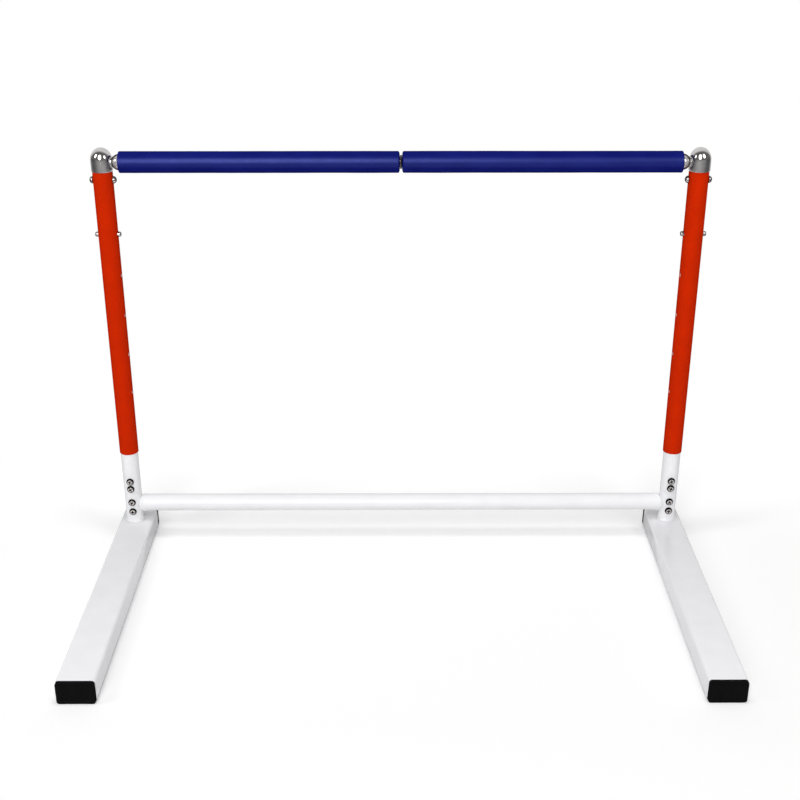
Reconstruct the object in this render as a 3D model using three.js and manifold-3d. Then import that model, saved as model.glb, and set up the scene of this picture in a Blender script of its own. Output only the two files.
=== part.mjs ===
// A height-adjustable track hurdle with a split, self-closing padded bar.
// Millimetres, +Z up, +X to the right, +Y away from the athlete's side.
// The origin is on the floor, under the middle of the hurdle.

import * as THREE from "three";
import { mergeVertices } from "three/addons/utils/BufferGeometryUtils.js";
import Module from "manifold-3d";

const wasm = await Module();
wasm.setup();

// General clearances
const fitGap = 0.3; // between any two pieces that touch
const overrun = 2; // how far a cutting shape runs past what it cuts

// Base legs: rectangular tubes lying along Y
const legLength = 581; // over both end plugs
const legWidth = 64;
const legHeight = 40;
const legWall = 2;
const legCornerRadius = 5;

// Black plugs in the leg ends
const plugFlangeThickness = 7;
const plugEdgeChamfer = 1.5;
const plugSideInset = 0.75; // how far a flange's sides stand in from the leg's
const plugInsertDepth = 18;
const plugInsertWall = 2.5;

// Posts: a stub welded to each leg, and the inner post standing on it
const postSpacing = 1040; // between the two post axes
const postSetback = 47; // from a leg's back end to the post axis
const postOutset = 4; // from a leg's middle plane out to the post axis
const postDiameter = 32.8;
const postWall = 1.8;
const stubLength = 60; // from the leg up to the joint with the inner post
const weldLeg = 4;
const innerPostTail = 25; // how far it stands above the snap buttons' axis

// Cross tube between the stubs
const crossTubeDiameter = 32.8;
const crossTubeWall = 1.5;
const crossTubeHeight = 75.5; // axis above the floor

// Coupling sleeve across the seam, and the screws that hold it
const couplingFoot = 14; // from the stub's foot up to the sleeve
const couplingRise = 46; // from the seam up to the sleeve's top
const couplingWall = 4;
const screwHeightShares = [-0.8, -0.37, 0.26, 0.6]; // of the sleeve below and above the seam
const screwDiameter = 6;
const screwHeadDiameter = 14.1;
const screwHeadHeight = 4.2;
const screwHeadRim = 1;
const screwRecessLength = 8.4;
const screwRecessWidth = 1.8;
const screwRecessDepth = 2.4;

// Bar: its height above the floor at the lowest setting, pads and core
const lowestBarTop = 762;
const padDiameter = 37.6;
const padOuterEdgeRadius = 0.9;
const padCrownShare = 0.8; // how far the rounded middle end draws in, of the foam's thickness
const padCrownLength = 3.2;
const coreDiameter = 22;
const coreWall = 1.5;
const middleGap = 0.4; // between the two bar halves, enough for their corners to swing past
const middlePlugDiameter = 26.4;
const middlePlugThickness = 1.5;
const middlePlugEdge = 0.4;
const middlePlugShank = 20;

// Ball end of each bar half, seated in a cup on the cap
const ballDiameter = 28;
const ballStandoff = 11.5; // from the cap's side to the ball's centre
const ballShankLength = 35;
const ballMouthDiameter = 11;
const ballMouthDepth = 3;

// Riser: the painted tube that slides on the inner post
const riserWall = 0.9;
const riserFootRise = 85; // from the seam up to the riser's lower end, at the lowest setting
const settingPitch = 76.2;
const settingCount = 5;
const firstSettingDrop = 113.4; // from the riser's top to its highest hole pair

// Cap on the riser
const capOverhang = 1.4; // past the riser's side
const capSideHeight = 19.8; // from the rim to where the dome starts
const capDomeHeight = 21;
const capRimDrop = 15.2; // from the bar's axis down to the rim
const capSpigotLength = 38;
const capBoreDiameter = 22;
const capBoreHeight = 21; // above the rim
const collarDiameter = 20;
const collarStandout = 0.4; // past the cap's side

// Cross bolt that holds the cap's spigot in the riser
const boltDrop = 15.5; // from the riser's top down to the bolt
const boltDiameter = 6;
const boltHeadDiameter = 13;
const boltHeadHeight = 5.8;
const boltThreadEngagement = 3;

// Snap buttons and their leaf spring
const buttonDiameter = 8.9;
const buttonHoleGap = 0.4;
const buttonStandout = 5.2;
const buttonCrownHeight = 2.6;
const buttonFlangeDiameter = 12;
const buttonFlangeThickness = 1.1;
const leafThickness = 0.8;
const leafWidth = 9;
const leafLength = 62;
const leafPadLength = 14; // the upright ends that press on the buttons
const leafBendWidth = 4;

// Return spring with its two pins
const pinDiameter = 4;
const pinHeadDiameter = 7.2;
const pinHeadThickness = 2;
const pinHoleDepth = 9;
const pinTailLength = 4; // from the spring's axis to the pin's head
const springDiameter = 6;
const springPlay = 1; // between the spring and the bores it runs through
const springWireDiameter = 1.6;
const springEyePlay = 0.6; // between an eye and its pin
const anchorReach = 70; // from the ball's centre to the anchor pin

// How finely the round shapes are divided
const largeSegments = 24;
const smallSegments = 12;
const ballSegments = 32;
const arcSteps = 3;

// Places that follow from the sizes
const postRadius = postDiameter / 2;
const postBoreRadius = postRadius - postWall;
const postX = postSpacing / 2;
const postY = legLength / 2 - postSetback;
const stubFoot = legHeight + fitGap;
const seamHeight = stubFoot + stubLength + fitGap / 2;
const couplingRadius = postBoreRadius - fitGap;
const riserBoreRadius = postRadius + fitGap;
const riserRadius = riserBoreRadius + riserWall;
const capRadius = riserRadius + capOverhang;
const barHeight = lowestBarTop - padDiameter / 2;
const capRimHeight = barHeight - capRimDrop;
const riserTop = capRimHeight - fitGap;
const riserBottom = seamHeight + riserFootRise;
const buttonHeight = riserTop - firstSettingDrop;
const boltHeight = riserTop - boltDrop;
const boltSeat = riserRadius + fitGap;
const collarFace = capRadius + collarStandout;
const ballReach = capRadius + ballStandoff; // from the post axis to the ball's centre
const springBoreRadius = springDiameter / 2 + springPlay;
const springEyeRadius = (pinDiameter + springWireDiameter) / 2 + springEyePlay;
const coreBoreRadius = coreDiameter / 2 - coreWall;
const halfBarReach = postX - ballReach; // from the ball's centre to the middle plane
const middlePlugFace = halfBarReach - middleGap / 2;
const middlePlugBack = middlePlugFace - middlePlugThickness;
const padEnd = middlePlugBack - fitGap;

// Finishes
function finish(color, roughness, metalness) {
  return new THREE.MeshStandardMaterial({ color, roughness, metalness });
}

const whitePaint = finish(0xececf0, 0.3, 0.1);
const orangePaint = finish(0xc8300c, 0.45, 0.1);
const bluePad = finish(0x1c2278, 0.6, 0);
const blackPlastic = finish(0x141414, 0.5, 0);
const satinMetal = finish(0x96969b, 0.35, 1);
const chromedSteel = finish(0xb4b4b8, 0.15, 1);
const springSteel = finish(0x70706e, 0.4, 1);

// A solid turned about +Z. Its [radius, height] points run up the outside and down the inside,
// and either start and end on the axis or close on themselves.
function turned(profile, segments) {
  const points = profile.map(([radius, height]) => new THREE.Vector2(radius, height));
  return new THREE.LatheGeometry(points, segments).rotateX(Math.PI / 2);
}

// The [radius, height] points of a quarter ellipse, from its widest point in to its tip.
function quarterArc(centreRadius, centreHeight, reach, rise) {
  const points = [];
  for (let step = 0; step <= arcSteps; step += 1) {
    const angle = (step / arcSteps) * (Math.PI / 2);
    points.push([centreRadius + reach * Math.cos(angle), centreHeight + rise * Math.sin(angle)]);
  }
  return points;
}

function ringTube(outerRadius, innerRadius, from, to) {
  const profile = [
    [innerRadius, from],
    [outerRadius, from],
    [outerRadius, to],
    [innerRadius, to],
    [innerRadius, from],
  ];
  return turned(profile, largeSegments);
}

function rod(radius, from, to, segments) {
  const profile = [
    [0, from],
    [radius, from],
    [radius, to],
    [0, to],
  ];
  return turned(profile, segments);
}

// Turns a shape made along +Z so that it lies along +X, or along -Y.
function alongX(geometry) {
  return geometry.rotateY(Math.PI / 2);
}

function alongFront(geometry) {
  return geometry.rotateX(Math.PI / 2);
}

function roundedRectangle(width, height, radius, path) {
  const right = width / 2 - radius;
  const top = height / 2 - radius;
  path.absarc(right, top, radius, 0, Math.PI / 2, false);
  path.absarc(-right, top, radius, Math.PI / 2, Math.PI, false);
  path.absarc(-right, -top, radius, Math.PI, 1.5 * Math.PI, false);
  path.absarc(right, -top, radius, 1.5 * Math.PI, 2 * Math.PI, false);
  path.closePath();
  return path;
}

// A rectangular tube along Z with its end at the origin.
function rectangularTube(width, height, radius, wall, length) {
  const outline = roundedRectangle(width, height, radius, new THREE.Shape());
  const boreRadius = Math.max(radius - wall, fitGap);
  outline.holes.push(roundedRectangle(width - 2 * wall, height - 2 * wall, boreRadius, new THREE.Path()));
  return new THREE.ExtrudeGeometry(outline, { depth: length, bevelEnabled: false, curveSegments: arcSteps });
}

// Joins and cuts
function solidOf(geometry) {
  const bare = geometry.clone();
  bare.deleteAttribute("normal");
  bare.deleteAttribute("uv");
  const merged = mergeVertices(bare);
  const corners = merged.index.array;
  const triangles = [];
  for (let i = 0; i < corners.length; i += 3) {
    const [a, b, c] = [corners[i], corners[i + 1], corners[i + 2]];
    if (a !== b && b !== c && c !== a) {
      triangles.push(a, b, c);
    }
  }
  const vertProperties = new Float32Array(merged.attributes.position.array);
  const triVerts = new Uint32Array(triangles);
  return new wasm.Manifold(new wasm.Mesh({ numProp: 3, vertProperties, triVerts }));
}

function geometryOf(solid) {
  const mesh = solid.getMesh();
  const geometry = new THREE.BufferGeometry();
  geometry.setAttribute("position", new THREE.BufferAttribute(new Float32Array(mesh.vertProperties), 3));
  geometry.setIndex(new THREE.BufferAttribute(new Uint32Array(mesh.triVerts), 1));
  geometry.computeVertexNormals();
  return geometry;
}

function cut(geometry, cutters) {
  return geometryOf(cutters.reduce((solid, cutter) => solid.subtract(solidOf(cutter)), solidOf(geometry)));
}

function joined(geometries) {
  const [first, ...others] = geometries.map(solidOf);
  return geometryOf(others.reduce((solid, other) => solid.add(other), first));
}

// Base legs, lying along Y
function baseLeg() {
  const tubeLength = legLength - 2 * (plugFlangeThickness + fitGap);
  const tube = rectangularTube(legWidth, legHeight, legCornerRadius, legWall, tubeLength);
  return alongFront(tube).translate(0, tubeLength / 2, legHeight / 2);
}

// A leg plug whose outer face looks along -Y from the origin.
function legPlug() {
  const flangeWidth = legWidth - 2 * plugSideInset;
  const flangeOutline = roundedRectangle(flangeWidth, legHeight, legCornerRadius, new THREE.Shape());
  const flange = new THREE.ExtrudeGeometry(flangeOutline, {
    depth: plugFlangeThickness,
    bevelEnabled: true,
    bevelThickness: plugEdgeChamfer,
    bevelSize: plugEdgeChamfer,
    bevelOffset: -plugEdgeChamfer,
    bevelSegments: 1,
    curveSegments: arcSteps,
  }).translate(0, 0, -plugFlangeThickness);
  const trimThickness = 2 * plugEdgeChamfer + overrun;
  const trim = new THREE.BoxGeometry(legWidth + overrun, legHeight + overrun, trimThickness);
  trim.translate(0, 0, -plugFlangeThickness + plugEdgeChamfer - trimThickness / 2);
  const insetWidth = legWidth - 2 * (legWall + fitGap);
  const insetHeight = legHeight - 2 * (legWall + fitGap);
  const insetRadius = Math.max(legCornerRadius - legWall - fitGap, fitGap);
  const insertLength = plugInsertDepth + plugFlangeThickness / 2;
  const insert = rectangularTube(insetWidth, insetHeight, insetRadius, plugInsertWall, insertLength);
  insert.translate(0, 0, -plugInsertDepth - plugFlangeThickness + plugEdgeChamfer);
  const plug = joined([cut(flange, [trim]), insert]).translate(0, 0, -plugEdgeChamfer);
  return alongFront(plug).translate(0, 0, legHeight / 2);
}

// Holes and screws in the front of a post
function screwHeight(share) {
  const reach = share < 0 ? stubLength - couplingFoot : couplingRise;
  return seamHeight + share * reach;
}

function frontHole(height) {
  const radius = screwDiameter / 2 + fitGap;
  return alongFront(rod(radius, 0, postRadius + overrun, smallSegments)).translate(0, 0, height);
}

function screwHoles(wanted) {
  return screwHeightShares.filter(wanted).map((share) => frontHole(screwHeight(share)));
}

function sideHole(radius, height) {
  const reach = riserRadius + overrun;
  return alongX(rod(radius, -reach, reach, smallSegments)).translate(0, 0, height);
}

function postStub() {
  const top = stubFoot + stubLength;
  const weld = quarterArc(0, 0, weldLeg, weldLeg).map(([reach, rise]) => [
    postRadius + weldLeg - rise,
    stubFoot + weldLeg - reach,
  ]);
  const profile = [[postBoreRadius, stubFoot], ...weld, [postRadius, top], [postBoreRadius, top]];
  profile.push([postBoreRadius, stubFoot]);
  return cut(
    turned(profile, largeSegments),
    screwHoles((share) => share < 0),
  );
}

function innerPost() {
  const bottom = seamHeight + fitGap / 2;
  const tube = ringTube(postRadius, postBoreRadius, bottom, buttonHeight + innerPostTail);
  const holes = screwHoles((share) => share > 0);
  holes.push(sideHole(buttonDiameter / 2 + buttonHoleGap, buttonHeight));
  return cut(tube, holes);
}

function coupling() {
  const foot = stubFoot + couplingFoot;
  const sleeve = ringTube(couplingRadius, couplingRadius - couplingWall, foot, seamHeight + couplingRise);
  return cut(
    sleeve,
    screwHoles(() => true),
  );
}

// A screw whose seat is at the origin, with its head towards -Y.
function crossScrew() {
  const shank = postRadius + fitGap - couplingRadius + couplingWall;
  const headRadius = screwHeadDiameter / 2;
  const crown = quarterArc(0, screwHeadRim, headRadius, screwHeadHeight - screwHeadRim);
  const profile = [
    [0, -shank],
    [screwDiameter / 2, -shank],
    [screwDiameter / 2, 0],
    [headRadius, 0],
    ...crown.slice(0, -1),
    [0, screwHeadHeight],
  ];
  const floor = screwHeadHeight - screwRecessDepth;
  const slots = [
    [screwRecessLength, screwRecessWidth],
    [screwRecessWidth, screwRecessLength],
  ].map(([width, length]) => {
    const slot = new THREE.BoxGeometry(width, length, screwRecessDepth + overrun);
    return slot.translate(0, 0, floor + (screwRecessDepth + overrun) / 2).rotateZ(Math.PI / 4);
  });
  return alongFront(cut(turned(profile, smallSegments), slots));
}

function crossTube() {
  const radius = crossTubeDiameter / 2;
  const end = postX - screwHeadDiameter / 2 - fitGap; // clear of the screws' heads
  const tube = alongX(ringTube(radius, radius - crossTubeWall, -end, end));
  tube.translate(0, 0, crossTubeHeight);
  const reach = radius + overrun;
  const copes = [-postX, postX].map((x) => {
    const post = rod(postRadius + fitGap, crossTubeHeight - reach, crossTubeHeight + reach, largeSegments);
    return post.translate(x, 0, 0);
  });
  return cut(tube, copes);
}

// Snap button along +X from the post axis, and its leaf spring
const buttonFlangeFace = Math.sqrt(postBoreRadius ** 2 - (buttonFlangeDiameter / 2) ** 2) - fitGap;
const buttonBack = buttonFlangeFace - buttonFlangeThickness;
const buttonTip = riserRadius + buttonStandout;

function snapButton() {
  const radius = buttonDiameter / 2;
  const crown = quarterArc(0, buttonTip - buttonCrownHeight, radius, buttonCrownHeight);
  const profile = [
    [0, buttonBack],
    [buttonFlangeDiameter / 2, buttonBack],
    [buttonFlangeDiameter / 2, buttonFlangeFace],
    [radius, buttonFlangeFace],
    ...crown.slice(0, -1),
    [0, buttonTip],
  ];
  return alongX(turned(profile, smallSegments));
}

function leafSpring() {
  const outer = buttonBack - fitGap;
  const inner = outer - leafThickness;
  const top = leafPadLength / 2;
  const knee = -leafPadLength / 2;
  const bottom = top - leafLength;
  const half = leafBendWidth / 2;
  const rightSide = [
    [half, bottom],
    [outer, knee],
    [outer, top],
    [inner, top],
    [inner, knee],
    [half - leafThickness, bottom + leafThickness],
  ];
  const leftSide = rightSide.map(([x, z]) => [-x, z]).reverse();
  const outline = new THREE.Shape([...rightSide, ...leftSide].map(([x, z]) => new THREE.Vector2(x, z)));
  const leaf = new THREE.ExtrudeGeometry(outline, { depth: leafWidth, bevelEnabled: false });
  return alongFront(leaf).translate(0, leafWidth / 2, buttonHeight);
}

// Riser and cap
function riser() {
  const holes = [];
  for (let setting = 0; setting < settingCount; setting += 1) {
    holes.push(sideHole(buttonDiameter / 2 + buttonHoleGap, buttonHeight - setting * settingPitch));
  }
  holes.push(sideHole(boltDiameter / 2 + fitGap, boltHeight));
  return cut(ringTube(riserRadius, riserBoreRadius, riserBottom, riserTop), holes);
}

// The cap about the post axis, with its ball cup towards +X.
function cap() {
  const spigotRadius = riserBoreRadius - fitGap;
  const domeStart = capRimHeight + capSideHeight;
  const profile = [
    [0, capRimHeight - capSpigotLength],
    [spigotRadius, capRimHeight - capSpigotLength],
    [spigotRadius, capRimHeight],
    [capRadius, capRimHeight],
    ...quarterArc(0, domeStart, capRadius, capDomeHeight).slice(0, -1),
    [0, domeStart + capDomeHeight],
  ];
  const collar = alongX(rod(collarDiameter / 2, 0, collarFace, largeSegments)).translate(0, 0, barHeight);
  const cup = new THREE.SphereGeometry(ballDiameter / 2 + fitGap, ballSegments, ballSegments / 2);
  cup.translate(ballReach, 0, barHeight);
  const boreTop = capRimHeight + capBoreHeight;
  const bore = rod(capBoreDiameter / 2, capRimHeight - capSpigotLength - overrun, boreTop, largeSegments);
  const springWay = alongX(rod(springBoreRadius, 0, collarFace, smallSegments)).translate(0, 0, barHeight);
  const pinHole = rod(pinDiameter / 2 + fitGap, barHeight, boreTop + pinHoleDepth + fitGap, smallSegments);
  const boltHole = sideHole(boltDiameter / 2 + fitGap, boltHeight);
  return cut(joined([turned(profile, largeSegments), collar]), [cup, bore, springWay, pinHole, boltHole]);
}

// The cross bolt lies along X with its head on the outer side.
function capBolt() {
  const shankEnd = boltSeat + boltThreadEngagement;
  const head = quarterArc(0, 0, boltHeadDiameter / 2, boltHeadHeight).slice(0, -1);
  const profile = [
    [0, -boltSeat - boltHeadHeight],
    ...head.reverse().map(([radius, rise]) => [radius, -boltSeat - rise]),
    [boltDiameter / 2, -boltSeat],
    [boltDiameter / 2, shankEnd],
    [0, shankEnd],
  ];
  return alongX(turned(profile, smallSegments)).translate(0, 0, boltHeight);
}

function capNut() {
  const boreRadius = boltDiameter / 2 + fitGap;
  const boreEnd = boltSeat + boltThreadEngagement + fitGap;
  const profile = [
    [0, boreEnd],
    [boreRadius, boreEnd],
    [boreRadius, boltSeat],
    ...quarterArc(0, boltSeat, boltHeadDiameter / 2, boltHeadHeight).slice(0, -1),
    [0, boltSeat + boltHeadHeight],
  ];
  return alongX(turned(profile, smallSegments)).translate(0, 0, boltHeight);
}

// The spring pin stands in the top of the cap's bore with its head below the spring's eye.
function springPin() {
  const head = barHeight - pinTailLength;
  const top = capRimHeight + capBoreHeight + pinHoleDepth;
  const profile = [
    [0, head - pinHeadThickness],
    [pinHeadDiameter / 2, head - pinHeadThickness],
    [pinHeadDiameter / 2, head],
    [pinDiameter / 2, head],
    [pinDiameter / 2, top],
    [0, top],
  ];
  return turned(profile, smallSegments);
}

// The pieces of a bar half lie along +X from the ball's centre to the middle plane.
function ballEnd() {
  const radius = ballDiameter / 2;
  const mouthRadius = ballMouthDiameter / 2;
  const mouthAngle = Math.asin(mouthRadius / radius);
  const ball = [];
  for (let step = 0; step <= 2 * arcSteps; step += 1) {
    const angle = mouthAngle + (step / (2 * arcSteps)) * (Math.PI / 2 - mouthAngle);
    ball.push([radius * Math.sin(angle), -radius * Math.cos(angle)]);
  }
  const mouth = -radius * Math.cos(mouthAngle);
  const shankRadius = coreBoreRadius - fitGap;
  const profile = [
    [springBoreRadius, mouth + ballMouthDepth],
    ...ball,
    [shankRadius, 0],
    [shankRadius, ballShankLength],
    [springBoreRadius, ballShankLength],
    [springBoreRadius, mouth + ballMouthDepth],
  ];
  return alongX(turned(profile, largeSegments));
}

function coreTube() {
  const tube = alongX(ringTube(coreDiameter / 2, coreBoreRadius, fitGap, padEnd));
  const reach = coreDiameter / 2 + overrun;
  const hole = rod(pinDiameter / 2 + fitGap, -reach, reach, smallSegments).translate(anchorReach, 0, 0);
  return cut(tube, [hole]);
}

function pad() {
  const radius = padDiameter / 2;
  const boreRadius = coreDiameter / 2 + fitGap;
  const edge = quarterArc(radius - padOuterEdgeRadius, 0, padOuterEdgeRadius, padOuterEdgeRadius);
  const outerEnd = edge.reverse().map(([reach, rise]) => [reach, fitGap + padOuterEdgeRadius - rise]);
  const crownDepth = padCrownShare * (radius - boreRadius);
  const crown = quarterArc(radius - crownDepth, padEnd - padCrownLength, crownDepth, padCrownLength);
  const profile = [[boreRadius, fitGap], ...outerEnd, ...crown, [boreRadius, padEnd], [boreRadius, fitGap]];
  return alongX(turned(profile, largeSegments));
}

function middlePlug() {
  const shankRadius = coreBoreRadius - fitGap;
  const headRadius = middlePlugDiameter / 2;
  const profile = [
    [0, middlePlugBack - middlePlugShank],
    [shankRadius, middlePlugBack - middlePlugShank],
    [shankRadius, middlePlugBack],
    [headRadius, middlePlugBack],
    [headRadius, middlePlugFace - middlePlugEdge],
    [headRadius - middlePlugEdge, middlePlugFace],
    [0, middlePlugFace],
  ];
  return alongX(turned(profile, largeSegments));
}

function anchorPin() {
  const half = coreDiameter / 2;
  return rod(pinDiameter / 2, -half, half, smallSegments).translate(anchorReach, 0, 0);
}

// The closely wound spring as one round body with an eye on each pin.
function returnSpring() {
  const wireRadius = springWireDiameter / 2;
  const eyes = [-ballReach, anchorReach].map((x) =>
    new THREE.TorusGeometry(springEyeRadius, wireRadius, smallSegments / 2, smallSegments).translate(x, 0, 0),
  );
  const from = springEyeRadius - ballReach;
  const to = anchorReach - springEyeRadius;
  const coil = alongX(rod(springDiameter / 2, from, to, smallSegments));
  return joined([coil, ...eyes]);
}

// Assembly
const hurdle = new THREE.Group();

function place(parent, name, geometry, material, x, y, z) {
  const mesh = new THREE.Mesh(geometry, material);
  mesh.name = name;
  mesh.position.set(x, y, z);
  parent.add(mesh);
  return mesh;
}

const sides = [
  { name: "left", sign: -1, turn: 0, plugFinish: chromedSteel },
  { name: "right", sign: 1, turn: Math.PI, plugFinish: blackPlastic },
];

for (const { name, sign, turn, plugFinish } of sides) {
  const legX = sign * (postX - postOutset);
  place(hurdle, `${name}_base_leg`, baseLeg(), whitePaint, legX, 0, 0);
  place(hurdle, `${name}_front_plug`, legPlug(), blackPlastic, legX, -legLength / 2, 0);
  place(hurdle, `${name}_back_plug`, legPlug(), blackPlastic, legX, legLength / 2, 0).rotation.z = Math.PI;

  const post = new THREE.Group();
  post.position.set(sign * postX, postY, 0);
  hurdle.add(post);
  place(post, `${name}_post_stub`, postStub(), whitePaint, 0, 0, 0);
  place(post, `${name}_inner_post`, innerPost(), whitePaint, 0, 0, 0);
  place(post, `${name}_coupling`, coupling(), chromedSteel, 0, 0, 0);
  screwHeightShares.forEach((share, index) => {
    const screwName = `${name}_screw_${index + 1}`;
    place(post, screwName, crossScrew(), chromedSteel, 0, -postRadius - fitGap, screwHeight(share));
  });
  place(post, `${name}_riser`, riser(), orangePaint, 0, 0, 0);

  // Turned so that +X points to the middle of the hurdle on both sides
  const head = new THREE.Group();
  head.rotation.z = turn;
  post.add(head);
  place(head, `${name}_button_spring`, leafSpring(), springSteel, 0, 0, 0);
  place(head, `${name}_inner_button`, snapButton(), chromedSteel, 0, 0, buttonHeight);
  place(head, `${name}_outer_button`, snapButton(), chromedSteel, 0, 0, buttonHeight).rotation.z = Math.PI;
  place(head, `${name}_cap`, cap(), satinMetal, 0, 0, 0);
  place(head, `${name}_cap_bolt`, capBolt(), chromedSteel, 0, 0, 0);
  place(head, `${name}_cap_nut`, capNut(), chromedSteel, 0, 0, 0);
  place(head, `${name}_spring_pin`, springPin(), springSteel, 0, 0, 0);

  const bar = new THREE.Group();
  bar.position.set(ballReach, 0, barHeight);
  head.add(bar);
  place(bar, `${name}_ball_end`, ballEnd(), chromedSteel, 0, 0, 0);
  place(bar, `${name}_core_tube`, coreTube(), satinMetal, 0, 0, 0);
  place(bar, `${name}_pad`, pad(), bluePad, 0, 0, 0);
  place(bar, `${name}_middle_plug`, middlePlug(), plugFinish, 0, 0, 0);
  place(bar, `${name}_anchor_pin`, anchorPin(), springSteel, 0, 0, 0);
  place(bar, `${name}_return_spring`, returnSpring(), springSteel, 0, 0, 0);
}

place(hurdle, "cross_tube", crossTube(), whitePaint, 0, postY, 0);

export default hurdle;
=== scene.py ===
"""Looks of a track hurdle with telescoping posts and a split, self-closing bar.

Metres, +Z up, +X to the right and +Y away from the athlete's side. The origin is on the floor,
under the middle of the hurdle.
"""

from __future__ import annotations

import logging
import math
from collections.abc import Callable, Sequence
from dataclasses import dataclass
from enum import Enum

import bmesh
import bpy
from mathutils import Matrix, Vector

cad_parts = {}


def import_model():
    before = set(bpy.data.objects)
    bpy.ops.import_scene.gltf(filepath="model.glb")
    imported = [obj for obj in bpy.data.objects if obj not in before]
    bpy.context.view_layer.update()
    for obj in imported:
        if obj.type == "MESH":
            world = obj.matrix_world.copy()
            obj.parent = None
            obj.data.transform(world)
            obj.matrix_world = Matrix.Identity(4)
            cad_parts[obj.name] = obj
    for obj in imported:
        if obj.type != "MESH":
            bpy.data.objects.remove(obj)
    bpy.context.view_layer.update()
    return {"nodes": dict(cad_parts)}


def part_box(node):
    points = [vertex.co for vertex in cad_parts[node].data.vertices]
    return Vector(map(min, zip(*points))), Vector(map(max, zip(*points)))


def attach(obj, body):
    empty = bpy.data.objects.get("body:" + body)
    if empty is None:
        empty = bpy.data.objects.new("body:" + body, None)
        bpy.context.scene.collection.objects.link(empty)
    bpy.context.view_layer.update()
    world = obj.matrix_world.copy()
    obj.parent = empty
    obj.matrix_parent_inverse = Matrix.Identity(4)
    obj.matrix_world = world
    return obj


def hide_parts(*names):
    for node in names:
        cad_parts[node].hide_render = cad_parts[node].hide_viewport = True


LOG = logging.getLogger("hurdle")
Pair = tuple[float, float]
Triple = tuple[float, float, float]
Colour = tuple[float, float, float, float]
Profile = Sequence[Pair]
Piece = bpy.types.Object
Socket = bpy.types.NodeSocket
HOME = Matrix.Identity(4)
QUARTER = math.pi / 2
# Clearance between pieces, and how far a drill reaches to each side of a tube's axis.
GAP, DRILL_REACH = 0.0003, 0.03
# Least share of a direction that counts as lying along an axis, and the least radius of a ring.
ALIGNED, TINY = 0.99, 1e-6
# Sizes and places that several parts share.
POST_X, POST_Y = 0.520, 0.2435
TUBE, BUTTON_HOLE = 0.0164, 0.00485
BALL, BALL_REACH = 0.014, 0.0305


def paint(red: int, green: int, blue: int) -> Colour:
    """Turn a colour as a screen shows it, from 0 to 255, into the linear values of shaders.

    Args:
        red: Red.
        green: Green.
        blue: Blue.

    Returns:
        The linear colour, opaque.
    """
    shares = [value / 255 for value in (red, green, blue)]
    linear = [s / 12.92 if s <= 0.04045 else ((s + 0.055) / 1.055) ** 2.4 for s in shares]
    return (*linear, 1.0)


def grey(level: float) -> Colour:
    """Give a linear grey."""
    return (level, level, level, 1.0)


class Side(Enum):
    """The hurdle's two ends, as an athlete at the legs' front ends sees them."""

    LEFT = -1
    RIGHT = 1

    def named(self, piece: str) -> str:
        """Give this side's name for a piece or a body."""
        return f"{self.name.lower()}_{piece}"

    def inward(self) -> Matrix:
        """Give the turn that points +X at the middle of the hurdle."""
        return Matrix.Rotation(0.0 if self is Side.LEFT else math.pi, 4, "Z")


class Lie(Enum):
    """How a piece that was made upright is laid down, by the axis that it is turned about."""

    ALONG_X = "Y"
    TO_FRONT = "X"

    def turn(self) -> Matrix:
        """Give the turn from +Z to where the piece points."""
        return Matrix.Rotation(QUARTER, 4, self.value)

    def at(self, height: float) -> Matrix:
        """Give that turn at a height on the axis."""
        return Matrix.Translation((0, 0, height)) @ self.turn()


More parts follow.
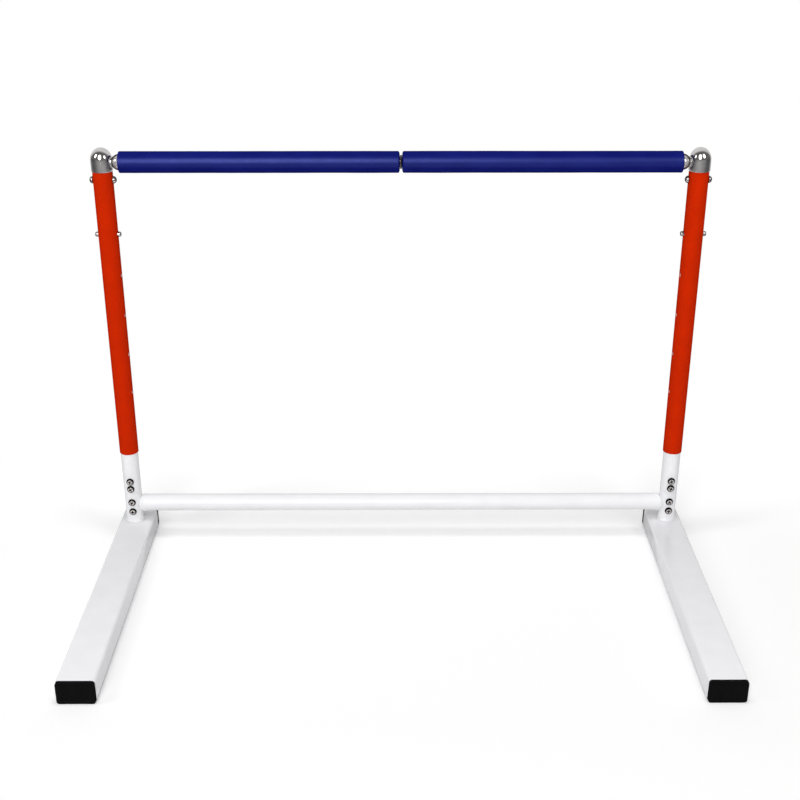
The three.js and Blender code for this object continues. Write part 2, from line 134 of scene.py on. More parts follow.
class Bench:
    """Modelling steps that the pieces share."""

    @staticmethod
    def focus(*pieces: Piece) -> None:
        """Leave edit mode and select only some pieces.

        Args:
            pieces: The pieces, the first of which becomes the active one.
        """
        if bpy.context.mode != "OBJECT":
            bpy.ops.object.mode_set(mode="OBJECT")
        bpy.ops.object.select_all(action="DESELECT")
        for piece in pieces:
            piece.select_set(True)
        if pieces:
            bpy.context.view_layer.objects.active = pieces[0]

    @staticmethod
    def name(title: str) -> Piece:
        """Name the piece that an operator has just made, and its mesh.

        Args:
            title: The name.

        Returns:
            The piece.
        """
        piece = bpy.context.active_object
        piece.name = title
        piece.data.name = title
        return piece

    @staticmethod
    def pick(mode: str, wanted: Callable[[Vector], bool]) -> None:
        """Select faces or edges of the mesh in edit mode.

        Args:
            mode: FACE or EDGE.
            wanted: Says yes to a face by its normal, or to an edge by its direction.
        """
        bpy.ops.mesh.select_mode(type=mode)
        bpy.ops.mesh.select_all(action="DESELECT")
        mesh = bmesh.from_edit_mesh(bpy.context.edit_object.data)
        if mode == "FACE":
            for face in mesh.faces:
                face.select_set(wanted(face.normal))
        else:
            for edge in mesh.edges:
                start, end = (vertex.co for vertex in edge.verts)
                edge.select_set(wanted((end - start).normalized()))
        mesh.select_flush_mode()
        bmesh.update_edit_mesh(bpy.context.edit_object.data)

    @staticmethod
    def close(ring: bool = False) -> None:
        """Close the open ends of the mesh in edit mode, and point its faces outwards.

        Args:
            ring: Whether the two ends are bridged to each other, not filled.
        """
        bpy.ops.mesh.select_mode(type="EDGE")
        bpy.ops.mesh.select_all(action="DESELECT")
        bpy.ops.mesh.select_non_manifold()
        if ring:
            bpy.ops.mesh.bridge_edge_loops()
        else:
            bpy.ops.mesh.fill_holes(sides=0)
        bpy.ops.mesh.select_all(action="SELECT")
        bpy.ops.mesh.normals_make_consistent(inside=False)

    @staticmethod
    def turned(title: str, profile: Profile, segments: int = 96, ring: bool = False) -> Piece:
        """Turn a piece about +Z by drawing a circle out along a profile.

        Args:
            title: Name of the piece.
            profile: Radius and height of each step; a last radius of 0 closes to a point.
            segments: Sides of the circle.
            ring: Whether the last step joins the first, as a tube's wall does.

        Returns:
            The closed piece.
        """
        radius, height = profile[0]
        Bench.focus()
        bpy.ops.mesh.primitive_circle_add(
            vertices=segments, radius=radius, fill_type="NOTHING", location=(0, 0, height)
        )
        piece = Bench.name(title)
        bpy.ops.object.transform_apply(location=True)
        bpy.ops.object.mode_set(mode="EDIT")
        bpy.ops.mesh.select_mode(type="VERT")
        bpy.ops.mesh.select_all(action="SELECT")
        for next_radius, next_height in profile[1:]:
            bpy.ops.mesh.extrude_region_move(
                TRANSFORM_OT_translate={"value": (0, 0, next_height - height)}
            )
            if next_radius == 0:
                bpy.ops.mesh.merge(type="CENTER")
                break
            share = next_radius / radius
            bpy.ops.transform.resize(
                value=(share, share, 1), center_override=(0, 0, next_height)
            )
            radius, height = next_radius, next_height
        Bench.close(ring)
        Bench.focus(piece)
        return piece

    @staticmethod
    def block(title: str, size: Vector, middle: Vector) -> Piece:
        """Add a block and leave it in edit mode.

        Args:
            title: Name of the piece.
            size: Size along each axis.
            middle: Place of its middle.

        Returns:
            The block.
        """
        Bench.focus()
        bpy.ops.mesh.primitive_cube_add(size=1, location=middle, scale=size)
        piece = Bench.name(title)
        bpy.ops.object.transform_apply(location=True, scale=True)
        bpy.ops.object.mode_set(mode="EDIT")
        return piece

    @staticmethod
    def modify(piece: Piece, kind: str, **values: object) -> None:
        """Put a modifier on a piece and apply it.

        Args:
            piece: The piece.
            kind: The modifier's type.
            values: The modifier's own settings.
        """
        Bench.focus(piece)
        bpy.ops.object.modifier_add(type=kind)
        modifier = piece.modifiers[-1]
        for key, value in values.items():
            setattr(modifier, key, value)
        bpy.ops.object.modifier_apply(modifier=modifier.name)

    @staticmethod
    def combine(piece: Piece, tool: Piece, place: Matrix, operation: str = "DIFFERENCE") -> None:
        """Cut a piece with a tool, or join them, and clear the tool away.

        Args:
            piece: The piece.
            tool: The tool, which is put in its place first.
            place: The tool's place.
            operation: DIFFERENCE or UNION.
        """
        Bench.settle(tool, place)
        Bench.modify(piece, "BOOLEAN", object=tool, operation=operation, solver="EXACT")
        bpy.data.objects.remove(tool)

    @staticmethod
    def drill(piece: Piece, radius: float, reach: Pair, place: Matrix, segments: int) -> None:
        """Drill a round hole, with a drill that reaches along +Z until it is put in its place."""
        tool = Bench.turned("drill", [(radius, height) for height in reach], segments)
        Bench.combine(piece, tool, place)

    @staticmethod
    def soften(piece: Piece, width: float, angle: float) -> None:
        """Round a piece's sharp edges.

        Args:
            piece: The piece.
            width: Width of the rounding.
            angle: Least angle, in degrees, of an edge that is rounded.
        """
        Bench.modify(
            piece, "BEVEL", width=width, segments=2, limit_method="ANGLE",
            angle_limit=math.radians(angle), use_clamp_overlap=True,
        )

    @staticmethod
    def settle(piece: Piece, move: Matrix) -> Piece:
        """Put a piece in its place, with its object left at the origin.

        Args:
            piece: The piece.
            move: The move from where it is.

        Returns:
            The piece.
        """
        Bench.focus(piece)
        piece.matrix_world = move @ piece.matrix_world
        bpy.ops.object.transform_apply(location=True, rotation=True, scale=True)
        return piece


def arc(middle: Pair, reach: Pair, steps: int, start: float = 0, end: float = 90) -> list[Pair]:
    """Give profile points on an arc of an ellipse.

    Args:
        middle: Radius and height of the ellipse's middle.
        reach: Its reach along the radius and along the height.
        steps: Facets along the arc.
        start: Angle of the first point in degrees, from the widest point up.
        end: Angle of the last point in degrees.

    Returns:
        The points, from start to end.
    """
    points = []
    for step in range(steps + 1):
        angle = math.radians(start + (end - start) * step / steps)
        radius = middle[0] + reach[0] * math.cos(angle)
        points.append((radius if radius > TINY else 0.0, middle[1] + reach[1] * math.sin(angle)))
    return points


@dataclass(frozen=True)
class Weld:
    """A weld bead: a ring about +Z whose thickness rises and falls along it."""

    radius: float
    size: float
    ripples: int
    ripple_share: float = 0.07
    drift_share: float = 0.05
    drifts: int = 3
    drift_start: float = 1.3

    def bead(self, title: str) -> Piece:
        """Make the bead.

        Args:
            title: Name of the piece.

        Returns:
            The bead.
        """
        Bench.focus()
        bpy.ops.mesh.primitive_torus_add(
            major_segments=self.ripples * 6, minor_segments=14, major_radius=self.radius,
            minor_radius=self.size)
        piece = Bench.name(title)
        for vertex in piece.data.vertices:
            middle = Vector((vertex.co.x, vertex.co.y, 0)).normalized() * self.radius
            angle = math.atan2(vertex.co.y, vertex.co.x)
            ripple = self.ripple_share * math.sin(angle * self.ripples)
            drift = self.drift_share * math.sin(angle * self.drifts + self.drift_start)
            vertex.co = middle + (vertex.co - middle) * (1 + ripple + drift)
        return piece


class Graph:
    """A node tree, with short ways to add to it."""

    def __init__(self, tree: bpy.types.NodeTree) -> None:
        """Take the tree that is added to."""
        self.tree = tree

    def feed(self, node: bpy.types.Node, name: str | int, value: object) -> None:
        """Fill one input of a node.

        Args:
            node: The node.
            name: The input's name or number.
            value: A socket to link to it, or a plain value.
        """
        if isinstance(value, Socket):
            self.tree.links.new(value, node.inputs[name])
        else:
            node.inputs[name].default_value = value

    def add(self, kind: str, inputs: dict[str | int, object], **settings: object) -> bpy.types.Node:
        """Add a shader node.

        Args:
            kind: The node's type, without the words that all types start with.
            inputs: A socket or a plain value for each input.
            settings: The node's own settings.

        Returns:
            The node.
        """
        node = self.tree.nodes.new(f"ShaderNode{kind}")
        for key, value in settings.items():
            setattr(node, key, value)
        for name, value in inputs.items():
            self.feed(node, name, value)
        return node

    def place(self, kind: str) -> Socket:
        """Give the coordinates of one kind."""
        return self.add("TexCoord", {}).outputs[kind]

    def along(self, place: Socket, axis: str) -> Socket:
        """Give how far a place lies along X, Y or Z."""
        return self.add("SeparateXYZ", {"Vector": place}).outputs[axis]

    def stretched(self, place: Socket, scale: Triple) -> Socket:
        """Give a place stretched along each axis."""
        return self.add("Mapping", {"Vector": place, "Scale": scale}).outputs["Vector"]

    def length(self, place: Socket) -> Socket:
        """Give a place's distance from the origin."""
        return self.add("VectorMath", {0: place}, operation="LENGTH").outputs["Value"]

    def maths(self, operation: str, first: Socket, second: Socket | float) -> Socket:
        """Add a sum on two values, the second of which may be a plain number."""
        return self.add("Math", {0: first, 1: second}, operation=operation).outputs["Value"]

    def span(self, value: Socket, reach: Pair, result: Pair = (0.0, 1.0),
             form: str = "SMOOTHSTEP") -> Socket:
        """Carry a value from one reach over to another.

        Args:
            value: The value.
            reach: Where the change starts and where it is full.
            result: What is given before it and after it.
            form: SMOOTHSTEP, or LINEAR for an even change.

        Returns:
            The carried value.
        """
        ends = {"From Min": reach[0], "From Max": reach[1], "To Min": result[0], "To Max": result[1]}
        node = self.add("MapRange", {"Value": value, **ends}, interpolation_type=form)
        return node.outputs["Result"]

    def ramp(self, value: Socket, stops: Sequence[tuple[float, Colour]]) -> Socket:
        """Carry a value from 0 to 1 through a ramp of two or more colours.

        Args:
            value: The value.
            stops: Place and colour of each stop.

        Returns:
            The colour.
        """
        node = self.add("ValToRGB", {"Fac": value})
        elements = node.color_ramp.elements
        while len(elements) < len(stops):
            elements.new(0.5)
        for element, (position, colour) in zip(elements, stops):
            element.position = position
            element.color = colour
        return node.outputs["Color"]

    def mixed(self, share: Socket, first: Socket | Colour, second: Socket | Colour) -> Socket:
        """Mix two colours, of which a share of 1 gives the second."""
        inputs = {"Factor": share, "A": first, "B": second}
        return self.add("Mix", inputs, data_type="RGBA").outputs["Result"]


@dataclass(frozen=True)
class Finish:
    """What every finish has: its name, a slot name, and the colours it varies between."""

    title: str
    slot: str
    colour: Colour
    shade: Colour


class Look(Graph):
    """A finish's node material: one Principled shader, patterned on Object coordinates."""

    def __init__(self, plan: Finish, roughness: float, metallic: float) -> None:
        """Make the material with its plain values.

        Args:
            plan: The finish.
            roughness: Roughness where nothing varies it.
            metallic: 1 for bare metal, 0 for the rest.
        """
        self.slot = plan.slot
        self.material = bpy.data.materials.new(plan.title)
        self.material.use_nodes = True
        self.material.diffuse_color = plan.colour
        super().__init__(self.material.node_tree)
        self.put("Base Color", plan.colour)
        self.put("Roughness", roughness)
        self.put("Metallic", metallic)
        self.surface = self.place("Object")

    def put(self, name: str, value: object) -> None:
        """Link or set an input of the shader."""
        self.feed(self.tree.nodes["Principled BSDF"], name, value)

    def noise(self, per_metre: float, detail: float = 3, stretch: Triple | None = None) -> Socket:
        """Give a cloudy pattern from 0 to 1.

        Args:
            per_metre: Blotches to a metre.
            detail: Levels of finer blotches.
            stretch: Scale along each axis, where the blotches are drawn out.

        Returns:
            The pattern.
        """
        place = self.stretched(self.surface, stretch) if stretch else self.surface
        inputs = {"Vector": place, "Scale": per_metre, "Detail": detail}
        return self.add("TexNoise", inputs).outputs["Fac"]

    def cells(self, per_metre: float) -> Socket:
        """Give a pattern of rounded cells, from 0 at their middles."""
        inputs = {"Vector": self.surface, "Scale": per_metre}
        return self.add("TexVoronoi", inputs, feature="SMOOTH_F1").outputs["Distance"]

    def tint(self, pattern: Socket, dark: Colour, light: Colour) -> None:
        """Vary the base colour with a pattern, between two colours."""
        self.put("Base Color", self.ramp(pattern, ((0.35, dark), (0.65, light))))

    def polish(self, pattern: Socket, smooth: float, rough: float) -> None:
        """Vary the roughness with a pattern, between two values."""
        self.put("Roughness", self.span(pattern, (0.3, 0.7), (smooth, rough), "LINEAR"))

    def outline(self) -> Socket:
        """Give 0 where the surface faces the viewer, and 1 at its outline."""
        return self.add("LayerWeight", {"Blend": 0.5}).outputs["Facing"]

    def hush(self, gloss: float, fade: Pair) -> None:
        """Give a gloss that fades between two shares of the way to the surface's outline."""
        self.put("Specular IOR Level", self.span(self.outline(), fade, (gloss, 0.0)))

    def darken(self, share: Socket, colour: Colour) -> None:
        """Mix a share of a darker colour over the base colour."""
        base = self.tree.nodes["Principled BSDF"].inputs["Base Color"].links[0].from_socket
        self.put("Base Color", self.mixed(share, base, colour))

    def relief(self, *layers: tuple[Socket, float, float]) -> None:
        """Stack bumps on the surface.

        Args:
            layers: Pattern, strength and depth in metres of each bump, the coarsest first.
        """
        normal = {}
        for pattern, strength, depth in layers:
            inputs = {"Strength": strength, "Distance": depth, "Height": pattern, **normal}
            normal = {"Normal": self.add("Bump", inputs).outputs["Normal"]}
        self.put("Normal", normal["Normal"])


@dataclass(frozen=True)
class Enamel(Finish):
    """Sprayed and baked paint: an even colour with orange peel under a thin gloss.

    A foot reach darkens what stands lower than that: painted contact shadow along the bottom edge.
    """

    roughness: float
    peel: float
    coat: float
    gloss: float
    foot: Pair | None = None
    # Painted contact shadow: the grey that the lowest part of the piece is darkened to.
    painted_contact_shade: Colour = paint(158, 156, 164)
    coat_roughness: float = 0.05

    def look(self) -> Look:
        """Mix the paint.

        Returns:
            The paint's look.
        """
        look = Look(self, self.roughness, 0)
        look.tint(look.noise(26, 5), self.shade, self.colour)
        look.polish(look.noise(70, 6, (1, 1, 0.4)), self.roughness * 0.85, self.roughness * 1.25)
        look.relief(
            (look.noise(160, 2), self.peel, 0.0004),
            (look.noise(1400, 2), self.peel * 0.6, 0.0001),
        )
        # Painted contact shadow: darken what stands below the foot reach.
        if self.foot:
            height = look.along(look.surface, "Z")
            look.darken(look.span(height, self.foot, (1.0, 0.0)), self.painted_contact_shade)
        if self.coat:
            look.put("Specular IOR Level", self.gloss)
        else:
            look.hush(self.gloss, (0.2, 0.6))
        look.put("Coat Weight", self.coat)
        look.put("Coat Roughness", self.coat_roughness)
        return look


@dataclass(frozen=True)
class Metal(Finish):
    """Bare or plated metal with a grain drawn out along one way.

    A rim above 0 paints a dark reflection on the outline: the base colour darkens there, the
    metal turns partly diffuse and its edge reflection is tinted dark, standing in for the dark
    room that polished pieces mirror. A haze above 0 turns part of the reflection into a pale, even
    colour. The recess reach paints shade on what lies deeper than that along +Y, in the recesses
    of the screws. A brushed reach takes the roughness from dull below it to the polished value
    above it.
    """

    roughness: float
    grain: float
    stretch: Triple = (1.0, 1.0, 1.0)
    rim: float = 0.0
    haze: float = 0.0
    painted_recess_shade: Pair | None = None
    brushed: Pair | None = None
    dull: float = 0.3
    # Colour of the painted dark reflection on outlines, and of the painted shade in recesses.
    dark: Colour = paint(26, 20, 17)
    # Dark tint of the edge reflection, part of the painted dark outline.
    rim_tint: Colour = paint(66, 58, 54)

    def look(self) -> Look:
        """Mix the metal.

        Returns:
            The metal's look.
        """
        look = Look(self, self.roughness, 1)
        look.tint(look.noise(90, 6), self.shade, self.colour)
        streaks = look.noise(900, 3, self.stretch)
        look.polish(streaks, self.roughness * 0.8, self.roughness * 1.35)
        look.relief((look.noise(420, 4), self.grain * 0.7, 0.0003), (streaks, self.grain, 0.0001))
        # Painted dark reflection: darken the outline's colour and its edge reflection.
        if self.rim:
            look.put("Specular Tint", self.rim_tint)
            look.put("Specular IOR Level", 0)
            bare = look.span(look.outline(), (0.62, 0.88), (1 - self.haze, 1 - self.rim))
            look.put("Metallic", bare)
            look.darken(look.span(look.outline(), (0.2, 0.52), (0.0, self.rim)), self.dark)
        # Painted shade: darken what lies deeper than the recess reach along +Y.
        if self.painted_recess_shade:
            depth = look.along(look.surface, "Y")
            look.darken(look.span(depth, self.painted_recess_shade), self.dark)
        if self.brushed:
            height = look.along(look.surface, "Z")
            look.put("Roughness", look.span(height, self.brushed, (self.dull, self.roughness)))
        return look


@dataclass(frozen=True)
class Moulding(Finish):
    """Moulded plastic with a fine spark-eroded grain."""

    def look(self) -> Look:
        """Mix the plastic.

        Returns:
            The plastic's look.
        """
        look = Look(self, 0.5, 0)
        look.hush(0.045, (0.3, 0.7))
        look.tint(look.noise(60, 5), self.shade, self.colour)
        look.polish(look.noise(140, 5), 0.42, 0.62)
        look.relief((look.noise(300, 3), 0.1, 0.0004), (look.cells(1600), 0.3, 0.0001))
        return look


@dataclass(frozen=True)
class FoamSkin(Finish):
    """The smooth, faintly pebbled skin of a dense foam sleeve."""

    sheen_tint: Colour = (0.3, 0.38, 1.0, 1.0)

    def look(self) -> Look:
        """Mix the skin.

        Returns:
            The skin's look.
        """
        look = Look(self, 0.42, 0)
        look.tint(look.noise(45, 6, (0.5, 1, 1)), self.shade, self.colour)
        look.polish(look.noise(180, 5), 0.3, 0.38)
        look.relief(
            (look.noise(55, 3), 0.08, 0.0006),
            (look.cells(900), 0.1, 0.0001),
            (look.noise(2600, 2), 0.08, 0.0001),
        )
        look.hush(0.66, (0.03, 0.18))
        look.put("Specular Tint", self.sheen_tint)
        return look


class Finishes:
    """One look for each of the hurdle's finishes."""

    def __init__(self) -> None:
        """Make every look once."""
        # The white enamel paints contact shadow on the legs' lowest few millimetres.
        self.white = Enamel(
            "white_enamel", "white_paint", paint(245, 245, 247), paint(242, 242, 245),
            roughness=0.16, peel=0.05, coat=0.05, gloss=0.3, foot=(0.0042, 0.0056)).look()
        self.orange = Enamel(
            "orange_enamel", "orange_paint", paint(204, 40, 1), paint(197, 38, 1),
            roughness=0.42, peel=0.12, coat=0.0, gloss=0.02).look()
        self.foam = FoamSkin(
            "blue_foam_skin", "blue_pad", paint(21, 28, 108), paint(17, 24, 100)).look()
        self.black = Moulding(
            "black_moulding", "black_plastic", paint(9, 9, 10), paint(6, 6, 7)).look()
        self.casting = Metal(
            "satin_casting", "cap_metal", paint(210, 208, 208), paint(198, 196, 195),
            roughness=0.1, grain=0.07, stretch=(1.0, 1.0, 0.06), brushed=(0.745, 0.751)).look()
        # The plating, the plug's plating, stainless and screw steel paint a dark reflection on their
        # outlines (rim).
        self.plating = Metal(
            "bright_plating", "bright_steel", paint(222, 219, 218), paint(208, 204, 202),
            roughness=0.07, grain=0.02, rim=0.85, haze=0.4).look()
        # Plating whose colour is darkened: a painted dark reflection for the chromed left middle
        # plug, with a painted dark outline too.
        self.reflection_darkened = Metal(
            "reflection_darkened_plating", "bright_steel", paint(78, 68, 62), paint(70, 60, 54),
            roughness=0.1, grain=0.02, rim=1.0).look()
        self.stainless = Metal(
            "stainless_steel", "bright_steel", paint(212, 208, 206), paint(196, 192, 190),
            roughness=0.07, grain=0.02, rim=1.0).look()
        # The screws' steel paints shade in their cross recesses.
        self.screw = Metal(
            "screw_steel", "bright_steel", paint(216, 212, 210), paint(200, 196, 194),
            roughness=0.07, grain=0.02, rim=1.0, painted_recess_shade=(0.2226, 0.2231)).look()
        self.zinc = Metal(
            "zinc_plating", "zinc_steel", paint(178, 182, 188), paint(160, 163, 166),
            roughness=0.34, grain=0.15).look()
        self.spring = Metal(
            "spring_steel", "spring_steel", paint(118, 117, 114), paint(96, 95, 93),
            roughness=0.36, grain=0.12).look()
        self.aluminium = Metal(
            "drawn_aluminium", "bare_aluminium", paint(200, 201, 204), paint(184, 185, 188),
            roughness=0.3, grain=0.14, stretch=(0.06, 1.0, 1.0)).look()


def dress(piece: Piece, look: Look, angle: float = 32) -> Piece:
    """Give a piece one material and shade it smooth.

    Args:
        piece: The piece.
        look: Its finish.
        angle: Greatest angle in degrees between faces that is shaded smooth.

    Returns:
        The piece.
    """
    piece.data.materials.clear()
    piece.data.materials.append(look.material)
    Bench.focus(piece)
    bpy.ops.object.shade_smooth_by_angle(angle=math.radians(angle))
    return piece


def mount(piece: Piece, look: Look, body: str, *nodes: str) -> None:
    """Let a piece ride on a body and hide the CAD nodes that it stands for.

    Args:
        piece: The piece.
        look: Its finish; not used.
        body: Body that it rides on.
        nodes: CAD nodes that it stands for.
    """
    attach(piece, body)
    if nodes:
        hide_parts(*nodes)
    LOG.info("%s: %d faces, on %s", piece.name, len(piece.data.polygons), body)


def finish(piece: Piece, place: Matrix, look: Look, body: str, *nodes: str,
           angle: float = 32) -> None:
    """Put a piece in its place, dress it and mount it on its body."""
    mount(dress(Bench.settle(piece, place), look, angle), look, body, *nodes)


def redress(node: Piece, look: Look) -> None:
    """Give a CAD node, whose shape stays, a better material.

    Args:
        node: The node.
        look: Its finish.
    """
    if not node.material_slots:
        node.data.materials.append(look.material)
    for held in node.material_slots:
        held.material = look.material
    LOG.info("%s keeps its shape", node.name)


@dataclass
class SidePart:
    """What the parts of one side share: the side, the finishes and the post's axis."""

    side: Side
    looks: Finishes

    def box(self, node: str) -> tuple[Vector, Vector]:
        """Give the lowest and highest corners of one of this side's CAD nodes."""
        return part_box(self.side.named(node))

    def level(self, node: str) -> float:
        """Give the height of a CAD node's middle."""
        low, high = self.box(node)
        return (low.z + high.z) / 2

    def post(self, height: float = 0) -> Matrix:
        """Give the place on the post's axis at a height."""
        return Matrix.Translation((self.side.value * POST_X, POST_Y, height))


@dataclass
class BaseLeg(SidePart):
    """A rectangular leg on the floor with a plug in each end."""

    width: float = 0.064
    height: float = 0.040
    wall: float = 0.002
    corner: float = 0.005
    corner_facets: int = 10
    mouth_edge: float = 0.0004
    flange: float = 0.007
    back_flange: float = 0.014
    flange_edge: float = 0.0014
    dish_margin: float = 0.0024
    dish_depth: float = 0.0003
    dish_slope: float = 0.00045
    insert_depth: float = 0.018

    def bar(self, title: str, size: Vector, middle: Vector) -> Piece:
        """Make a block with rounded long edges, and leave it in edit mode.

        Args:
            title: Name of the piece, without the side.
            size: Size along each axis.
            middle: Place of its middle.

        Returns:
            The block.
        """
        piece = Bench.block(self.side.named(title), size, middle)
        Bench.pick("EDGE", lambda way: abs(way.y) > ALIGNED)
        bpy.ops.mesh.bevel(offset=self.corner, segments=self.corner_facets, affect="EDGES")
        return piece

    def tube(self) -> None:
        """Make the leg's tube."""
        low, high = self.box("base_leg")
        high.y -= self.back_flange - self.flange
        piece = self.bar("leg_tube", high - low, (low + high) / 2)
        Bench.pick("FACE", lambda normal: abs(normal.y) > ALIGNED)
        bpy.ops.mesh.delete(type="FACE")
        Bench.modify(piece, "SOLIDIFY", thickness=self.wall, offset=-1)
        Bench.soften(piece, self.mouth_edge, 60)
        finish(piece, HOME, self.looks.white, "base", self.side.named("base_leg"))

    def plug(self, node: str, title: str, facing: int) -> None:
        """Make an end plug.

        Args:
            node: CAD node that it stands for, without the side.
            title: Name of the piece, without the side.
            facing: -1 at the leg's front end, 1 at its back end.
        """
        low, high = self.box(node)
        outer, flange = (low.y, self.flange) if facing < 0 else (high.y, self.back_flange)
        depth = self.insert_depth - (flange - self.flange)
        middle = Vector(((low.x + high.x) / 2, outer - facing * flange / 2, self.height / 2))
        size = Vector((high.x - low.x, flange, self.height))
        piece = self.bar(title, size, middle)
        Bench.pick("FACE", lambda normal: normal.y * facing > ALIGNED)
        bpy.ops.mesh.region_to_loop()
        bpy.ops.mesh.bevel(offset=self.flange_edge, segments=4, affect="EDGES")
        Bench.pick("FACE", lambda normal: normal.y * facing > ALIGNED)
        bpy.ops.mesh.inset(thickness=self.dish_margin)
        bpy.ops.mesh.inset(thickness=self.dish_slope, depth=-self.dish_depth)
        Bench.pick("FACE", lambda normal: normal.y * facing < -ALIGNED)
        for inset, way in (
            (self.wall + GAP - (self.width - size.x) / 2, -depth), (self.wall, depth - self.wall),
        ):
            bpy.ops.mesh.inset(thickness=inset)
            bpy.ops.mesh.extrude_region_move(
                TRANSFORM_OT_translate={"value": (0, facing * way, 0)}
            )
        finish(piece, HOME, self.looks.black, "base", self.side.named(node), angle=25)

    def build(self) -> None:
        """Make the leg and its plugs."""
        self.tube()
        self.plug("front_plug", "front_end_plug", -1)
        self.plug("back_plug", "back_end_plug", 1)


@dataclass
class Post(SidePart):
    """A welded stub, the inner post on it, and the four screws that hold them together."""

    radius: float = TUBE
    bore: float = 0.0146
    edge: float = 0.0005
    weld: float = 0.0026
    bead: Weld = Weld(TUBE + 0.0002, 0.0014, 44)
    bead_sink: float = 0.0008
    screw_head: float = 0.00705
    screw_rise: float = 0.0042
    screw_rim: float = 0.001
    screw_round: float = 0.0034
    screw_edge: float = 0.0002
    screw_flat: Pair = (0.0012, 0.00005)
    screw_shank: Pair = (0.003, 0.006)
    screw_spin: float = 37
    recess: Triple = (0.0088, 0.0024, 0.0026)
    recess_over: float = 0.001
    recess_taper: float = 0.45
    recess_edge: float = 0.00012
    button: float = 0.00445
    button_crown: Pair = (0.0022, 0.0026)
    button_flange: Pair = (0.006, 0.0011)
    button_tip: float = 0.0008

    def bored(self, piece: Piece, heights: Sequence[float]) -> None:
        """Drill the screw holes in a tube's front.

        Args:
            piece: The tube.
            heights: Heights of its screws.
        """
        for height in heights:
            reach = (0, DRILL_REACH)
            Bench.drill(piece, self.screw_shank[0] + GAP, reach, Lie.TO_FRONT.at(height), 32)

    def screw_heights(self) -> list[float]:
        """Give the heights of the four screws."""
        return [self.level(f"screw_{index}") for index in range(1, 5)]

    def stub(self) -> None:
        """Make the stub with the fillet of its weld."""
        low, high = self.box("post_stub")
        foot, top = low.z, high.z
        fillet = [
            (self.radius + self.weld - rise, foot + self.weld - reach)
            for reach, rise in arc((0, 0), (self.weld, self.weld), 8)
        ]
        profile = [
            (self.bore, foot), (self.radius + self.weld, foot), *fillet[1:],
            (self.radius, top - self.edge), (self.radius - self.edge, top), (self.bore, top),
        ]
        piece = Bench.turned(self.side.named("welded_stub"), profile, ring=True)
        self.bored(piece, [height for height in self.screw_heights() if height < top])
        finish(piece, self.post(), self.looks.white, "base", self.side.named("post_stub"))

    def foot_weld(self) -> None:
        """Make the rippled weld around the stub's foot."""
        foot = self.box("post_stub")[0].z
        piece = self.bead.bead(self.side.named("foot_weld"))
        for vertex in piece.data.vertices:
            vertex.co.z = max(vertex.co.z, -self.bead_sink)
        finish(piece, self.post(foot + self.bead_sink), self.looks.white, "base", angle=60)

    def inner_post(self) -> None:
        """Make the inner post with its screw holes and button holes."""
        low, high = self.box("inner_post")
        profile = [
            (self.bore, low.z), (self.radius - self.edge, low.z), (self.radius, low.z + self.edge),
            (self.radius, high.z - self.edge), (self.radius - self.edge, high.z),
            (self.bore, high.z),
        ]
        piece = Bench.turned(self.side.named("inner_tube"), profile, ring=True)
        self.bored(piece, [height for height in self.screw_heights() if height > low.z])
        across = Lie.ALONG_X.at(self.level("inner_button"))
        Bench.drill(piece, BUTTON_HOLE, (-DRILL_REACH, DRILL_REACH), across, 32)
        finish(piece, self.post(), self.looks.white, "base", self.side.named("inner_post"))

    def screw(self) -> Piece:
        """Make one pan-head screw with a cross recess, upright with its seat at height 0.

        Returns:
            The screw.
        """
        rise, rim, curve = self.screw_rise, self.screw_rim, self.screw_round
        shank, length = self.screw_shank
        flat, top = self.screw_flat[0], rise + self.screw_flat[1]
        profile = [
            (shank, -length), (shank, 0), (self.screw_head - self.screw_edge, 0),
            (self.screw_head, self.screw_edge),
            *arc((self.screw_head - curve, rim), (curve, rise - rim), 10), (flat, top), (0, top),
        ]
        piece = Bench.turned("screw", profile, 48)
        length, width, depth = self.recess
        middle = Vector((0, 0, rise - depth / 2 + self.recess_over / 2))
        for size in ((length, width), (width, length)):
            wing = Bench.block("wing", Vector((*size, depth + self.recess_over)), middle)
            Bench.pick("FACE", lambda normal: normal.z < -ALIGNED)
            bpy.ops.transform.resize(value=(self.recess_taper, self.recess_taper, 1))
            Bench.combine(piece, wing, Matrix.Rotation(QUARTER / 2, 4, "Z"))
        Bench.soften(piece, self.recess_edge, 50)
        return dress(piece, self.looks.screw, 35)

    def screws(self) -> None:
        """Copy the screw to its four places, each turned a little differently."""
        model = self.screw()
        seat = Matrix.Translation((0, -self.radius - GAP, 0)) @ Lie.TO_FRONT.turn()
        for index, height in enumerate(self.screw_heights(), start=1):
            Bench.focus(model)
            bpy.ops.object.duplicate()
            piece = Bench.name(self.side.named(f"pan_screw_{index}"))
            turn = math.radians(self.screw_spin * index * self.side.value)
            Bench.settle(piece, self.post(height) @ seat @ Matrix.Rotation(turn, 4, "Z"))
            mount(piece, self.looks.screw, "base", self.side.named(f"screw_{index}"))
        bpy.data.objects.remove(model)

    def snap_button(self, where: str, turn: Matrix) -> None:
        """Make one snap button.

        Args:
            where: inner or outer.
            turn: The turn from the inner button's way to this one's.
        """
        node = self.side.named(f"{where}_button")
        low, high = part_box(node)
        near, far = sorted((abs(low.x), abs(high.x)))
        reach = POST_X - near if where == "inner" else far - POST_X
        back, (flange, thickness) = reach - (high.x - low.x), self.button_flange
        across, along = self.button_crown
        profile = [
            (flange, back), (flange, back + thickness), (self.button, back + thickness),
            *arc((self.button - across, reach - along), self.button_crown, 10),
            (self.button_tip, reach), (0, reach),
        ]
        piece = Bench.turned(self.side.named(f"{where}_snap_button"), profile, 48)
        way = self.side.inward() @ turn
        place = self.post(self.level(f"{where}_button")) @ way @ Lie.ALONG_X.turn()
        body = self.side.named(f"{where}_button_body")
        finish(piece, place, self.looks.stainless, body, node)

    def build(self) -> None:
        """Make the post with its screws and buttons."""
        self.stub()
        self.foot_weld()
        self.inner_post()
        self.screws()
        self.snap_button("inner", Matrix.Rotation(0, 4, "Z"))
        self.snap_button("outer", Matrix.Rotation(math.pi, 4, "Z"))


